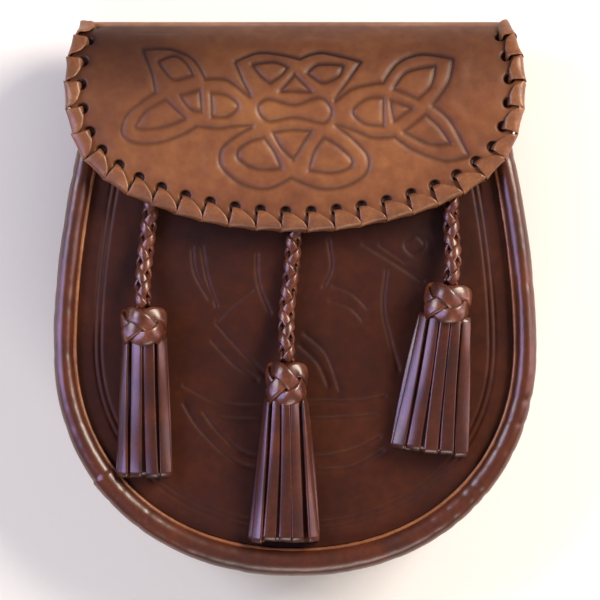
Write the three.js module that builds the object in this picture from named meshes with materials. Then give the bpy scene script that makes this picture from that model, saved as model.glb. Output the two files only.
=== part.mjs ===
// A day sporran: a leather pouch worn in front of a kilt, lying on its back with the flap closed.
// Millimetres. Seen from the front, +X is to the right, +Y towards the folded top, +Z out of the front.
// The origin lies on the surface that the sporran rests on, below the middle of its outline.

import * as THREE from "three";

// Air between neighbouring pieces
const GAP = 0.3;

// Outline of the pouch: a squarish round bottom below sides that draw in towards the mouth
const HALF_WIDTH = 82.3;
const WIDEST_Y = -16;
const BOTTOM_REACH = 79;
const BOTTOM_POWER = 2.15;
const SIDE_TAPER = 0.00425;
const SIDE_POWER = 1.8;
const MOUTH_Y = 75;
const SIDE_SHARE = 0.2; // part of the outline's length that each side takes

// Leather
const BODY_LEATHER = 2.6;
const PANEL_LEATHER = 2.2;
const GUSSET_LEATHER = 2;
const LOOP_LEATHER = 2;
const LACE_LEATHER = 1.1;

// Levels, from the back to the front
const LOOP_ROOM = 5; // room for a kilt belt inside a belt loop
const BACK_Z = LOOP_LEATHER + LOOP_ROOM + GAP;
const RIM_Z = 33.8;
const PANEL_EDGE_Z = 32.6;
const PANEL_CROWN = 0.8;
const FLAP_Z = 43.4;
const FLAP_CROWN = 0.8;

// Fold over the top: a tight quarter behind and a long quarter in front of the top line
const TOP_Y = 95;
const FOLD_TOP_Z = 22;
const FOLD_BACK_RUN = 15;
const FOLD_FRONT_RUN = 33;
const FOLD_BACK_Y = TOP_Y - FOLD_BACK_RUN;
const FOLD_FRONT_Y = TOP_Y - FOLD_FRONT_RUN;
const BACK_SHARE = 0.18; // where the back ends and the fold begins, along the back and flap
const FOLD_SHARE = 0.75; // where the fold ends and the flap's front begins

// Flap edge, without its lacing
const FLAP_WIDEST = 76.5;
const FLAP_WIDEST_Y = 74;
const FLAP_TOP_NARROWING = 4.9;
const FLAP_CORNER_NARROWING = 4;
const FLAP_CORNER_Y = 53;
const FLAP_LOW_Y = 23.6;
const FLAP_CURVE = 0.0038;
const FLAP_CORNER_RISE = 7.9;

// Padded rim along the pouch's front edge
const RIM_SIDE = 7;
const RIM_BOTTOM = 9;
const RIM_HALF_HEIGHT = 3.9;

// Lacing over the flap's edge, as one channel: outwards from the edge, and above the flap's face
const LACE_START = 0.58; // where the lacing begins, as a part of the fold's half turn
const LACE_SIDE_SHARE = 0.2;
const LACE_SECTION = [
  { out: -6.3, above: 1.6 },
  { out: 0.5, above: 1.6 },
  { out: 1.7, above: 0.4 },
  { out: 1.7, above: -3.0 },
  { out: 0.5, above: -4.2 },
  { out: -5, above: -4.2 },
];

// Belt loops on the back
const LOOP_X = 42;
const LOOP_WIDTH = 22;
const LOOP_Y = 16;
const LOOP_LENGTH = 84;
const LOOP_PAD = 8; // sewn end of a loop
const LOOP_SLOPE = 6; // length of the slope from a sewn end down to the outer face

// Closure stud between the front panel and the flap
const STUD_RADIUS = 6;
const STUD_Y = 50;

// Tassels: cord, knot and skirt of leather strips
const CORD_DIAMETER = 5;
const KNOT_SIDES = 16;
const SKIRT_TOP_DEPTH = 12.5;
const SKIRT_END_DEPTH = 9;
const SKIRT_FLOOR_Z = PANEL_EDGE_Z + PANEL_CROWN + GAP;
const TASSELS = [
  {
    side: "left",
    knot: { topX: -51.2, topY: -3.4, endX: -51.3, endY: -16, width: 15.9 },
    skirt: { endX: -51.3, endY: -60.8, topWidth: 15.5, endWidth: 20 },
    cord: [
      [-47.6, 43.0, 36.2], [-47.9, 39.6, 36.2], [-48.3, 36.2, 36.2], [-48.7, 32.8, 36.2], [-49.1, 29.4, 36.2],
      [-49.6, 26.0, 36.2], [-50.0, 22.6, 36.2], [-50.4, 19.2, 36.3], [-50.8, 15.8, 36.5], [-51.1, 12.4, 37.3],
      [-51.4, 9.0, 38.5], [-51.6, 6.0, 39.8], [-51.6, 3.0, 40.9], [-51.4, 0.0, 41.5], [-51.2, -2.9, 41.6],
    ],
  },
  {
    side: "middle",
    knot: { topX: -2.7, topY: -22.0, endX: -3.2, endY: -36.4, width: 14.6 },
    skirt: { endX: -3.7, endY: -83, topWidth: 14.8, endWidth: 25.4 },
    cord: [
      [1.3, 38.0, 36.2], [0.9, 33.8, 36.2], [0.5, 29.6, 36.2], [0.1, 25.4, 36.2], [-0.3, 21.2, 36.2],
      [-0.6, 17.0, 36.2], [-0.9, 12.8, 36.2], [-1.3, 8.6, 36.2], [-1.8, 4.4, 36.2], [-2.3, 0.2, 36.3],
      [-2.7, -3.8, 36.6], [-2.9, -7.6, 37.5], [-2.9, -11.4, 39.0], [-2.8, -16.4, 40.7], [-2.7, -21.4, 41.0],
    ],
  },
  {
    side: "right",
    knot: { topX: 52.4, topY: 4.4, endX: 50.6, endY: -8.3, width: 16.2 },
    skirt: { endX: 45.6, endY: -52.6, topWidth: 17.4, endWidth: 27.8 },
    cord: [
      [51.6, 47.0, 36.2], [52.0, 44.0, 36.2], [52.4, 41.0, 36.2], [52.7, 38.0, 36.2], [53.0, 35.0, 36.2],
      [53.1, 32.0, 36.2], [53.1, 29.0, 36.2], [53.1, 26.0, 36.3], [53.2, 23.0, 36.7], [53.4, 20.0, 37.5],
      [53.6, 17.0, 38.6], [53.7, 14.0, 39.9], [53.5, 11.0, 41.1], [53.1, 8.0, 41.7], [52.6, 4.9, 41.8],
    ],
  },
];

const LEATHER = {
  flap: { color: 0x7b4c31, roughness: 0.42, metalness: 0 },
  panel: { color: 0x4e2a1c, roughness: 0.5, metalness: 0 },
  rim: { color: 0x6b3a2c, roughness: 0.3, metalness: 0 },
  lace: { color: 0x80543a, roughness: 0.32, metalness: 0 },
  tassel: { color: 0x66402f, roughness: 0.35, metalness: 0 },
  loop: { color: 0x4a2a1d, roughness: 0.55, metalness: 0 },
};
const STUD_METAL = { color: 0x9a8258, roughness: 0.3, metalness: 1 };

const sporran = new THREE.Group();

function add(name, geometry, finish) {
  const mesh = new THREE.Mesh(geometry, new THREE.MeshStandardMaterial(finish));
  mesh.name = name;
  sporran.add(mesh);
  return mesh;
}

// A leather wall. face(u, v) is its outer face for u and v from 0 to 1, with u to the right and v down as
// seen from outside; the inner face lies one thickness behind it.
function wall(face, thickness, columns, rows) {
  const skin = new THREE.PlaneGeometry(1, 1, columns, rows);
  const outer = skin.attributes.position;
  for (let i = 0; i < outer.count; i++) {
    const point = face(outer.getX(i) + 0.5, 0.5 - outer.getY(i));
    outer.setXYZ(i, point.x, point.y, point.z);
  }
  skin.computeVertexNormals();

  const inner = outer.clone();
  const point = new THREE.Vector3();
  const normal = new THREE.Vector3();
  for (let i = 0; i < inner.count; i++) {
    point.fromBufferAttribute(outer, i);
    normal.fromBufferAttribute(skin.attributes.normal, i);
    point.addScaledVector(normal, -thickness);
    inner.setXYZ(i, point.x, point.y, point.z);
  }

  const front = Array.from(skin.index.array);
  const back = front.map((corner) => corner + outer.count).reverse();
  const edge = edgeOfGrid(columns, rows);
  const sides = edge.flatMap((a, i) => {
    const b = edge[(i + 1) % edge.length];
    return [a, b, b + outer.count, a, b + outer.count, a + outer.count];
  });

  const geometry = new THREE.BufferGeometry();
  const places = new Float32Array([...outer.array, ...inner.array]);
  geometry.setAttribute("position", new THREE.BufferAttribute(places, 3));
  geometry.setIndex([...front, ...back, ...sides]);
  return geometry;
}

// Corner numbers round the edge of a grid, clockwise from its top left corner
function edgeOfGrid(columns, rows) {
  const across = columns + 1;
  const edge = [];
  for (let c = 0; c < columns; c++) edge.push(c);
  for (let r = 0; r < rows; r++) edge.push(r * across + columns);
  for (let c = columns; c > 0; c--) edge.push(rows * across + c);
  for (let r = rows; r > 0; r--) edge.push(r * across);
  return edge;
}

// A solid with oval sections. section(t) gives the section's centre and its two half axes, for t from 0 to 1.
function ovalSolid(section, sides, steps) {
  const geometry = new THREE.CylinderGeometry(1, 1, 1, sides, steps);
  const corners = geometry.attributes.position;
  for (let i = 0; i < corners.count; i++) {
    const { centre, across, up } = section(0.5 - corners.getY(i));
    const point = centre.clone();
    point.addScaledVector(across, corners.getX(i));
    point.addScaledVector(up, corners.getZ(i));
    corners.setXYZ(i, point.x, point.y, point.z);
  }
  return geometry;
}

// Columns crowd towards both edges, where the outline turns fastest
function crowded(u) {
  return Math.sin(Math.PI * (u - 0.5));
}

function sideHalfWidth(y) {
  return HALF_WIDTH - SIDE_TAPER * Math.pow(Math.max(0, y - WIDEST_Y), SIDE_POWER);
}

// Depth of the round bottom below the widest line, at a place from -1 to 1 across it
function bottomDrop(across, reach) {
  const rest = Math.max(0, 1 - Math.pow(Math.abs(across), BOTTOM_POWER));
  return reach * Math.pow(rest, 1 / BOTTOM_POWER);
}

// Point on the outline, t from 0 at the left end of the mouth round the bottom to 1 at its right end
function outline(t, sideInset, bottomInset) {
  const side = t < 0.5 ? -1 : 1;
  const along = (side < 0 ? t : 1 - t) / SIDE_SHARE;
  if (along < 1) {
    const y = MOUTH_Y + (WIDEST_Y - MOUTH_Y) * along;
    return new THREE.Vector3(side * (sideHalfWidth(y) - sideInset), y, 0);
  }
  const angle = (Math.PI * (t - SIDE_SHARE)) / (1 - 2 * SIDE_SHARE);
  const across = -Math.sign(Math.cos(angle)) * Math.pow(Math.abs(Math.cos(angle)), 2 / BOTTOM_POWER);
  const down = Math.pow(Math.sin(angle), 2 / BOTTOM_POWER);
  const x = across * (HALF_WIDTH - sideInset);
  return new THREE.Vector3(x, WIDEST_Y - down * (BOTTOM_REACH - bottomInset), 0);
}

function flapHalfWidth(y) {
  const above = Math.max(0, y - FLAP_WIDEST_Y) / (TOP_Y - FLAP_WIDEST_Y);
  const below = Math.min(1, Math.max(0, FLAP_WIDEST_Y - y) / (FLAP_WIDEST_Y - FLAP_CORNER_Y));
  const narrowing = FLAP_TOP_NARROWING * above ** 2 + FLAP_CORNER_NARROWING * below ** 2.5;
  return FLAP_WIDEST - narrowing;
}

function flapLowerEdge(across) {
  const x = across * flapHalfWidth(FLAP_CORNER_Y);
  return FLAP_LOW_Y + FLAP_CURVE * x ** 2 + FLAP_CORNER_RISE * Math.abs(across) ** 10;
}

// Outer face of the one-piece back and flap: across from -1 to 1, along from the back's bottom edge (0) up the
// back, over the fold and down the front to the flap's lower edge (1)
function backAndFlapFace(across, along) {
  const foldHalfWidth = flapHalfWidth(TOP_Y);
  if (along <= BACK_SHARE) {
    const lowest = WIDEST_Y - bottomDrop(across, BOTTOM_REACH - 1);
    const y = THREE.MathUtils.lerp(lowest, FOLD_BACK_Y, along / BACK_SHARE);
    const halfWidth = Math.max(sideHalfWidth(y) - 1, foldHalfWidth);
    return new THREE.Vector3(across * halfWidth, y, BACK_Z);
  }
  const crown = FLAP_CROWN * (1 - across ** 2);
  if (along <= FOLD_SHARE) {
    const turn = (Math.PI * (along - BACK_SHARE)) / (FOLD_SHARE - BACK_SHARE);
    if (turn < Math.PI / 2) {
      const y = FOLD_BACK_Y + FOLD_BACK_RUN * Math.sin(turn);
      const z = FOLD_TOP_Z - (FOLD_TOP_Z - BACK_Z) * Math.cos(turn);
      return new THREE.Vector3(across * foldHalfWidth, y, z);
    }
    const y = FOLD_FRONT_Y + FOLD_FRONT_RUN * Math.sin(turn);
    const z = FOLD_TOP_Z - (FLAP_Z + crown - FOLD_TOP_Z) * Math.cos(turn);
    return new THREE.Vector3(across * flapHalfWidth(y), y, z);
  }
  const down = (along - FOLD_SHARE) / (1 - FOLD_SHARE);
  const y = THREE.MathUtils.lerp(FOLD_FRONT_Y, flapLowerEdge(across), down);
  return new THREE.Vector3(across * flapHalfWidth(y), y, FLAP_Z + crown);
}

function backAndFlap() {
  const face = (u, v) => backAndFlapFace(crowded(u), v);
  return wall(face, BODY_LEATHER, 22, 28);
}

// Domed front panel inside the rim, from its round bottom up to the mouth
function frontPanel() {
  const sideInset = RIM_SIDE + GAP;
  const reach = BOTTOM_REACH - RIM_BOTTOM - GAP;
  const face = (u, v) => {
    const across = crowded(u);
    const y = THREE.MathUtils.lerp(MOUTH_Y, WIDEST_Y - bottomDrop(across, reach), v);
    const x = across * (sideHalfWidth(y) - sideInset);
    const height = Math.max(0, 1 - ((y - WIDEST_Y) / BOTTOM_REACH) ** 2);
    return new THREE.Vector3(x, y, PANEL_EDGE_Z + PANEL_CROWN * (1 - across ** 2) * height);
  };
  return wall(face, PANEL_LEATHER, 20, 10);
}

// Side and bottom wall between back and front, bowed inwards at half its depth
function gusset() {
  const bow = 2;
  const edgeInset = 1;
  const slant = 0.6; // the wall's thickness leans by this much at its bowed ends
  const top = RIM_Z - RIM_HALF_HEIGHT - GAP - slant;
  const bottom = BACK_Z + BODY_LEATHER + GAP + slant;
  const face = (u, v) => {
    const inset = edgeInset + bow * Math.sin(Math.PI * v);
    const point = outline(u, inset, inset);
    point.z = THREE.MathUtils.lerp(top, bottom, v);
    return point;
  };
  return wall(face, GUSSET_LEATHER, 56, 4);
}

// Gusset edge turned over a cord: a padded roll, thicker at the bottom of the pouch
function rimRoll() {
  const forwards = new THREE.Vector3(0, 0, 1);
  const middle = (t) => outline(t, RIM_SIDE / 2, RIM_BOTTOM / 2).setZ(RIM_Z);
  const step = 0.004;
  const section = (t) => {
    const direction = middle(Math.min(1, t + step)).sub(middle(Math.max(0, t - step)));
    const low = Math.sin(Math.PI * t) ** 4;
    const halfWidth = THREE.MathUtils.lerp(RIM_SIDE, RIM_BOTTOM, low) / 2;
    return {
      centre: middle(t),
      across: forwards.clone().cross(direction).setLength(halfWidth),
      up: forwards.clone().setLength(RIM_HALF_HEIGHT),
    };
  };
  return ovalSolid(section, 10, 60);
}

// Point on the flap's edge, t from 0 at the left end of the fold down the side, along the lower edge and up
function flapEdge(t) {
  const foldTurn = FOLD_SHARE - BACK_SHARE;
  const start = BACK_SHARE + LACE_START * foldTurn;
  const side = t < 0.5 ? -1 : 1;
  const along = (side < 0 ? t : 1 - t) / LACE_SIDE_SHARE;
  if (along < 1) return { across: side, along: THREE.MathUtils.lerp(start, 1, along) };
  const across = (t - LACE_SIDE_SHARE) / (1 - 2 * LACE_SIDE_SHARE);
  return { across: THREE.MathUtils.lerp(-1, 1, across), along: 1 };
}

// Whip-stitched thong round the flap's edge, as one channel of the stitches' outer form
function flapLacing() {
  const step = 0.004;
  const place = (t) => {
    const { across, along } = flapEdge(THREE.MathUtils.clamp(t, 0, 1));
    return backAndFlapFace(across, along);
  };
  const face = (u, v) => {
    const { across, along } = flapEdge(u);
    const point = backAndFlapFace(across, along);
    const along3 = place(u + step).sub(place(u - step)).normalize();
    const inwards = Math.sign(across || 1) * step;
    const rightwards = backAndFlapFace(across, along).sub(backAndFlapFace(across - inwards, along));
    rightwards.multiplyScalar(Math.sign(inwards));
    const downwards = point.clone().sub(backAndFlapFace(across, along - step));
    const outOfFace = downwards.cross(rightwards).normalize();
    const outwards = along3.clone().cross(outOfFace).normalize();
    const corner = LACE_SECTION[Math.round(v * (LACE_SECTION.length - 1))];
    return point.addScaledVector(outwards, corner.out).addScaledVector(outOfFace, corner.above);
  };
  return wall(face, LACE_LEATHER, 75, LACE_SECTION.length - 1);
}

// Leather strip sewn to the back at both ends, standing off between them for the belt
function beltLoop() {
  const half = LOOP_LENGTH / 2;
  const raised = LOOP_ROOM;
  const strip = new THREE.Shape();
  strip.moveTo(-half, raised);
  strip.lineTo(-half + LOOP_PAD, raised);
  strip.lineTo(-half + LOOP_PAD + LOOP_SLOPE, 0);
  strip.lineTo(half - LOOP_PAD - LOOP_SLOPE, 0);
  strip.lineTo(half - LOOP_PAD, raised);
  strip.lineTo(half, raised);
  strip.lineTo(half, raised + LOOP_LEATHER);
  strip.lineTo(half - LOOP_PAD - 1, raised + LOOP_LEATHER);
  strip.lineTo(half - LOOP_PAD - LOOP_SLOPE - 1, LOOP_LEATHER);
  strip.lineTo(-half + LOOP_PAD + LOOP_SLOPE + 1, LOOP_LEATHER);
  strip.lineTo(-half + LOOP_PAD + 1, raised + LOOP_LEATHER);
  strip.lineTo(-half, raised + LOOP_LEATHER);
  const geometry = new THREE.ExtrudeGeometry(strip, { depth: LOOP_WIDTH, bevelEnabled: false });
  geometry.translate(0, 0, -LOOP_WIDTH / 2);
  const alongY = new THREE.Vector3(0, 1, 0);
  const alongZ = new THREE.Vector3(0, 0, 1);
  const alongX = new THREE.Vector3(1, 0, 0);
  return geometry.applyMatrix4(new THREE.Matrix4().makeBasis(alongY, alongZ, alongX));
}

function flapStud() {
  const bottom = PANEL_EDGE_Z + PANEL_CROWN + GAP;
  const top = FLAP_Z + FLAP_CROWN - BODY_LEATHER - 2 * GAP;
  const geometry = new THREE.CylinderGeometry(STUD_RADIUS, STUD_RADIUS, top - bottom, 24);
  return geometry.rotateX(Math.PI / 2).translate(0, STUD_Y, (top + bottom) / 2);
}

// Plain tube along the cord's route
function tasselCord(route) {
  const path = new THREE.CatmullRomCurve3(route.map(([x, y, z]) => new THREE.Vector3(x, y, z)));
  const section = new THREE.Shape().absarc(0, 0, CORD_DIAMETER / 2, 0, 2 * Math.PI);
  const steps = Math.ceil(path.getLength() / (2 * CORD_DIAMETER));
  return new THREE.ExtrudeGeometry(section, { steps, curveSegments: 5, extrudePath: path });
}

// Barrel-shaped woven knot, with its axis from the cord's end to the skirt
function tasselKnot({ topX, topY, endX, endY, width }) {
  const radius = width / 2;
  const top = new THREE.Vector3(topX, topY, SKIRT_FLOOR_Z + radius);
  const end = new THREE.Vector3(endX, endY, SKIRT_FLOOR_Z + radius);
  const half = top.distanceTo(end) / 2;
  const barrel = [
    { r: 0, h: -half },
    { r: 0.78 * radius, h: -half },
    { r: 0.96 * radius, h: -0.62 * half },
    { r: radius, h: -0.1 * half },
    { r: 0.93 * radius, h: 0.5 * half },
    { r: 0.66 * radius, h: 0.92 * half },
    { r: 0.4 * radius, h: half },
    { r: 0, h: half },
  ];
  const profile = barrel.map(({ r, h }) => new THREE.Vector2(r, h));
  const geometry = new THREE.LatheGeometry(profile, KNOT_SIDES);
  const lean = new THREE.Quaternion();
  lean.setFromUnitVectors(new THREE.Vector3(0, 1, 0), top.clone().sub(end).normalize());
  geometry.applyQuaternion(lean);
  const centre = top.add(end).multiplyScalar(0.5);
  return geometry.translate(centre.x, centre.y, centre.z);
}

// Outer form of the hanging strips: round below the knot, wide and flat where they lie on the panel
function tasselSkirt(knot, { endX, endY, topWidth, endWidth }) {
  const lean = new THREE.Vector3(knot.endX - knot.topX, knot.endY - knot.topY, 0).setLength(2 * GAP);
  const top = new THREE.Vector3(knot.endX, knot.endY, 0).add(lean);
  const end = new THREE.Vector3(endX, endY, 0);
  const forwards = new THREE.Vector3(0, 0, 1);
  const direction = end.clone().sub(top);
  const section = (t) => {
    const spread = Math.pow(t, 0.85);
    const width = THREE.MathUtils.lerp(topWidth, endWidth, spread);
    const depth = THREE.MathUtils.lerp(SKIRT_TOP_DEPTH, SKIRT_END_DEPTH, spread);
    return {
      centre: top.clone().lerp(end, t).setZ(SKIRT_FLOOR_Z + depth / 2),
      across: forwards.clone().cross(direction).setLength(width / 2),
      up: forwards.clone().setLength(depth / 2),
    };
  };
  return ovalSolid(section, 14, 5);
}

add("back_and_flap", backAndFlap(), LEATHER.flap);
add("front_panel", frontPanel(), LEATHER.panel);
add("gusset", gusset(), LEATHER.rim);
add("rim_roll", rimRoll(), LEATHER.rim);
add("flap_lacing", flapLacing(), LEATHER.lace);
add("flap_stud", flapStud(), STUD_METAL);
for (const { side, sign } of [{ side: "left", sign: -1 }, { side: "right", sign: 1 }]) {
  add(`belt_loop_${side}`, beltLoop(), LEATHER.loop).position.set(sign * LOOP_X, LOOP_Y, 0);
}
for (const { side, knot, skirt, cord } of TASSELS) {
  add(`tassel_cord_${side}`, tasselCord(cord), LEATHER.tassel);
  add(`tassel_knot_${side}`, tasselKnot(knot), LEATHER.tassel);
  add(`tassel_skirt_${side}`, tasselSkirt(knot, skirt), LEATHER.tassel);
}

export default sporran;
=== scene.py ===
# %% [markdown]
# # A leather day sporran
# A sporran is the pouch that hangs in front of a kilt. This one is cowhide: one dark front panel with a faint
# tooled roundel, a gusset for the sides, and a lighter piece that makes the back, folds over the top and comes
# down as an embossed flap. A thong is whip-stitched round the flap's edge, and three braided cords carry
# tassels of cut strips. It lies on its back on its belt loops, with the flap closed.
#
# Everything is in metres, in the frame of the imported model: +X to the right seen from the front, +Y towards
# the folded top, +Z out of the front.

# %% Load the frame
import math
import random

import bmesh
import bpy
from mathutils import Matrix, Vector, kdtree, noise


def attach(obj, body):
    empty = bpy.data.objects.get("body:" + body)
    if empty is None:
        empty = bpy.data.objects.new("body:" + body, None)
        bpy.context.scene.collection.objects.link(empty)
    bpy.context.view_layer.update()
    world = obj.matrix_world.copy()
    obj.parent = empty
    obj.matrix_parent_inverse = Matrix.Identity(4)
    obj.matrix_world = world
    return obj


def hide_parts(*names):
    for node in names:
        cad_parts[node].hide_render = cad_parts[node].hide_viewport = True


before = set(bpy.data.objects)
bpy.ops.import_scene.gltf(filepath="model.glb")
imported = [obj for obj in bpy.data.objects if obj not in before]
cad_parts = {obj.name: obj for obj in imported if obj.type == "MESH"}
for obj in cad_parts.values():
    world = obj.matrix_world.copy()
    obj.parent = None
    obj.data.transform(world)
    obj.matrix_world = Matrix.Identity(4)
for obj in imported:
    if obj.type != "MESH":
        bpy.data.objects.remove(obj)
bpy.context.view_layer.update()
MM = 0.001
print("nodes in the frame:", len(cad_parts))

# %% [markdown]
# ## Camera
# The front is seen square on, so the camera hangs straight above it. A long lens keeps the sides parallel, as a
# catalogue picture has them. The place and width of the view come from the object's own box.

# %% Camera
VIEW_WIDTH = 0.2046
VIEW_CENTRE = Vector((0.0017, -0.00085, 0.034))
CAMERA_HEIGHT = 1.1
SENSOR = 36.0

camera_data = bpy.data.cameras.new("camera")
camera_data.sensor_width = SENSOR
camera_data.lens = SENSOR * CAMERA_HEIGHT / VIEW_WIDTH
camera = bpy.data.objects.new("camera", camera_data)
camera.location = VIEW_CENTRE + Vector((0, 0, CAMERA_HEIGHT))
bpy.context.collection.objects.link(camera)
bpy.context.scene.camera = camera
print("lens:", round(camera_data.lens), "mm")

# %% [markdown]
# ## Helpers for materials
# Leather colours are picked as sRGB hex values, and Blender works in linear light, so one function converts
# them. Another adds a node, sets its inputs and links them, which keeps each material short enough to read.

# %% Material helpers
def linear(hex_colour):
    """Linear RGBA of an sRGB colour such as "7a4a2c"."""
    channels = [int(hex_colour[i : i + 2], 16) / 255 for i in (0, 2, 4)]
    return [c / 12.92 if c <= 0.04045 else ((c + 0.055) / 1.055) ** 2.4 for c in channels] + [1.0]


def node(material, kind, inputs, **settings):
    """Add a node. An input takes a value, or a socket to link from; settings are the node's own fields."""
    tree = material.node_tree
    made = tree.nodes.new(kind)
    for field, value in settings.items():
        setattr(made, field, value)
    for key, value in inputs.items():
        if isinstance(value, bpy.types.NodeSocket):
            tree.links.new(value, made.inputs[key])
        else:
            made.inputs[key].default_value = value
    return made


def new_material(name):
    material = bpy.data.materials.new(name)
    material.use_nodes = True
    material.node_tree.nodes.clear()
    return material


# %% [markdown]
# ## Leather
# Vegetable-tanned cowhide, dyed with a brown that soaks in unevenly and then waxed. The eye sees four things:
# cloudy colour a few centimetres across, fine pores under a millimetre, darker dye that settles in every
# pressed line, and a wax gloss that is broken up by the pores. A vertex attribute darkens the colour towards a
# deep brown. The tooling step writes the dye of the pressed lines into it, so the dye follows the tooling
# exactly; it also holds painted shade in and round the lacing holes, on the top and left of the flap, on the
# underside of the rim and at both edges of the gusset.

# %% Leather material
def leather(name, deep, middle, light, roughness, cloud_mm=38, pore_mm=0.55, pore_depth_mm=0.05, coat=0.25,
            shine=0.5):
    """Waxed cowhide. deep, middle and light are the dye's three shades, from settled dye to rubbed face."""
    material = new_material(name)
    place = node(material, "ShaderNodeTexCoord", {}).outputs["Object"]
    clouds = node(
        material,
        "ShaderNodeTexNoise",
        {"Vector": place, "Scale": 1000 / cloud_mm, "Detail": 5.0, "Roughness": 0.6},
    )
    blotches = node(
        material,
        "ShaderNodeTexNoise",
        {"Vector": place, "Scale": 1000 / (cloud_mm / 9), "Detail": 3.0, "Roughness": 0.55},
    )
    both = node(
        material,
        "ShaderNodeMix",
        {"Factor": 0.3, "A": clouds.outputs["Fac"], "B": blotches.outputs["Fac"]},
    )
    shades = node(material, "ShaderNodeValToRGB", {"Fac": both.outputs["Result"]})
    ramp = shades.color_ramp
    ramp.elements[0].position = 0.34
    ramp.elements[0].color = linear(deep)
    ramp.elements[1].position = 0.68
    ramp.elements[1].color = linear(light)
    ramp.elements.new(0.5).color = linear(middle)
    pores = node(material, "ShaderNodeTexVoronoi", {"Vector": place, "Scale": 1000 / pore_mm, "Randomness": 1.0})
    wrinkles = node(
        material,
        "ShaderNodeTexNoise",
        {"Vector": place, "Scale": 1000 / (pore_mm * 2.4), "Detail": 6.0, "Roughness": 0.65},
    )
    # The attribute darkens towards the deep brown below: dye in tooled lines, and painted shade in and round the holes,
    # on the flap's top and left, the rim's underside and the gusset's edges.
    pressed = node(material, "ShaderNodeAttribute", {}, attribute_name="pressed")
    dye_and_shade_mix = node(
        material,
        "ShaderNodeMix",
        {"Factor": pressed.outputs["Fac"], "A": shades.outputs["Color"], "B": linear("280d06")},
        data_type="RGBA",
    )
    relief = node(
        material,
        "ShaderNodeMix",
        {"Factor": 0.55, "A": pores.outputs["Distance"], "B": wrinkles.outputs["Fac"]},
    )
    bump = node(
        material,
        "ShaderNodeBump",
        {"Height": relief.outputs["Result"], "Strength": 0.55, "Distance": pore_depth_mm * MM},
    )
    gloss = node(
        material,
        "ShaderNodeMapRange",
        {"Value": both.outputs["Result"], "From Min": 0.3, "From Max": 0.7, "To Min": roughness + 0.07,
         "To Max": roughness - 0.07},
    )
    surface = node(
        material,
        "ShaderNodeBsdfPrincipled",
        {"Base Color": dye_and_shade_mix.outputs["Result"], "Roughness": gloss.outputs["Result"], "IOR": 1.5,
         "Specular IOR Level": shine, "Coat Weight": coat, "Coat Roughness": 0.28, "Normal": bump.outputs["Normal"]},
    )
    node(material, "ShaderNodeOutputMaterial", {"Surface": surface.outputs["BSDF"]})
    return material


FLAP_LEATHER = leather("tan_brown_embossed_cowhide", "65381f", "7d4b2d", "946039", 0.5, coat=0.04, shine=0.3)
PANEL_LEATHER = leather("dark_brown_tooled_cowhide", "2c1108", "3b180b", "4d2411", 0.5, coat=0.02, shine=0.2)
RIM_LEATHER = leather("red_brown_rolled_leather", "3c170b", "4f2413", "62311d", 0.34, cloud_mm=16, coat=0.3)
GUSSET_LEATHER = leather("dark_brown_gusset_leather", "301509", "411f12", "50291a", 0.45)
# The lip's lighter leather is a painted highlight: the bright line along the rim's inner edge.
LIP_LEATHER = leather("lighter_red_brown_lip_for_painted_highlight", "6b3d24", "8a5635", "a56f48", 0.38, cloud_mm=12, coat=0.3)
LACE_LEATHER = leather("tan_brown_lacing_thong", "643a20", "7c4c2e", "95633f", 0.42, cloud_mm=9, coat=0.12)
CORD_LEATHER = leather("red_brown_braiding_string", "3e1a0f", "5e3020", "85503a", 0.3, cloud_mm=6, coat=0.45)
STRIP_LEATHER = leather("red_brown_tassel_strip", "30130b", "451e12", "5a2e1c", 0.32, cloud_mm=12, coat=0.4)
LOOP_LEATHER = leather("dark_brown_strap_leather", "3a1e13", "4a281a", "593423", 0.48)
print("leathers:", len(bpy.data.materials))

# %% [markdown]
# ## Helpers for shapes
# Two ways of making cover almost every piece of a leather bag. A cut piece starts as a flat grid, as it does on
# the bench, and is moved into its shape; its wall comes from solidify. A thong, string or strip is a ring that
# is extruded from one place to the next along its way. Both keep their faces as clean quads.

# %% Shape helpers
def finish_piece(bm, name, material):
    """Turn a bmesh, modelled in millimetres, into an object in metres that rides with the pouch."""
    bmesh.ops.scale(bm, vec=(MM, MM, MM), verts=bm.verts)
    mesh = bpy.data.meshes.new(name)
    bm.to_mesh(mesh)
    bm.free()
    mesh.materials.append(material)
    for polygon in mesh.polygons:
        polygon.use_smooth = True
    piece = bpy.data.objects.new(name, mesh)
    bpy.context.collection.objects.link(piece)
    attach(piece, "root")
    return piece


def join(bm, part):
    """Add one strand's bmesh to a piece."""
    spare = bpy.data.meshes.new("spare")
    part.to_mesh(spare)
    part.free()
    bm.from_mesh(spare)
    bpy.data.meshes.remove(spare)


def placement(centre, across, up, along):
    """Matrix that puts a unit ring at centre, with its half axes across and up, facing along."""
    matrix = Matrix.Identity(4)
    for column, axis in enumerate((across, up, along, centre)):
        for row in range(3):
            matrix[row][column] = axis[row]
    return matrix


def sweep(bm, places, sides=10, squareness=1.0, closed=False):
    """Extrude one ring through a list of placements. squareness below 1 makes the oval a rounded rectangle."""
    made = bmesh.ops.create_circle(bm, cap_ends=False, radius=1.0, segments=sides)
    ring = made["verts"]
    for vert in ring:
        x, y, _ = vert.co
        vert.co.x = math.copysign(abs(x) ** squareness, x)
        vert.co.y = math.copysign(abs(y) ** squareness, y)
    bmesh.ops.transform(bm, matrix=places[0], verts=ring)
    first = [edge for edge in {e for v in ring for e in v.link_edges}]
    edges = first
    for before, after in zip(places, places[1:]):
        grown = bmesh.ops.extrude_edge_only(bm, edges=edges)["geom"]
        verts = [g for g in grown if isinstance(g, bmesh.types.BMVert)]
        fresh = set(verts)
        edges = [g for g in grown if isinstance(g, bmesh.types.BMEdge) and fresh.issuperset(g.verts)]
        bmesh.ops.transform(bm, matrix=after @ before.inverted(), verts=verts)
    if closed:
        bmesh.ops.bridge_loops(bm, edges=first + edges)
    else:
        bmesh.ops.contextual_create(bm, geom=first)
        bmesh.ops.contextual_create(bm, geom=edges)


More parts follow.
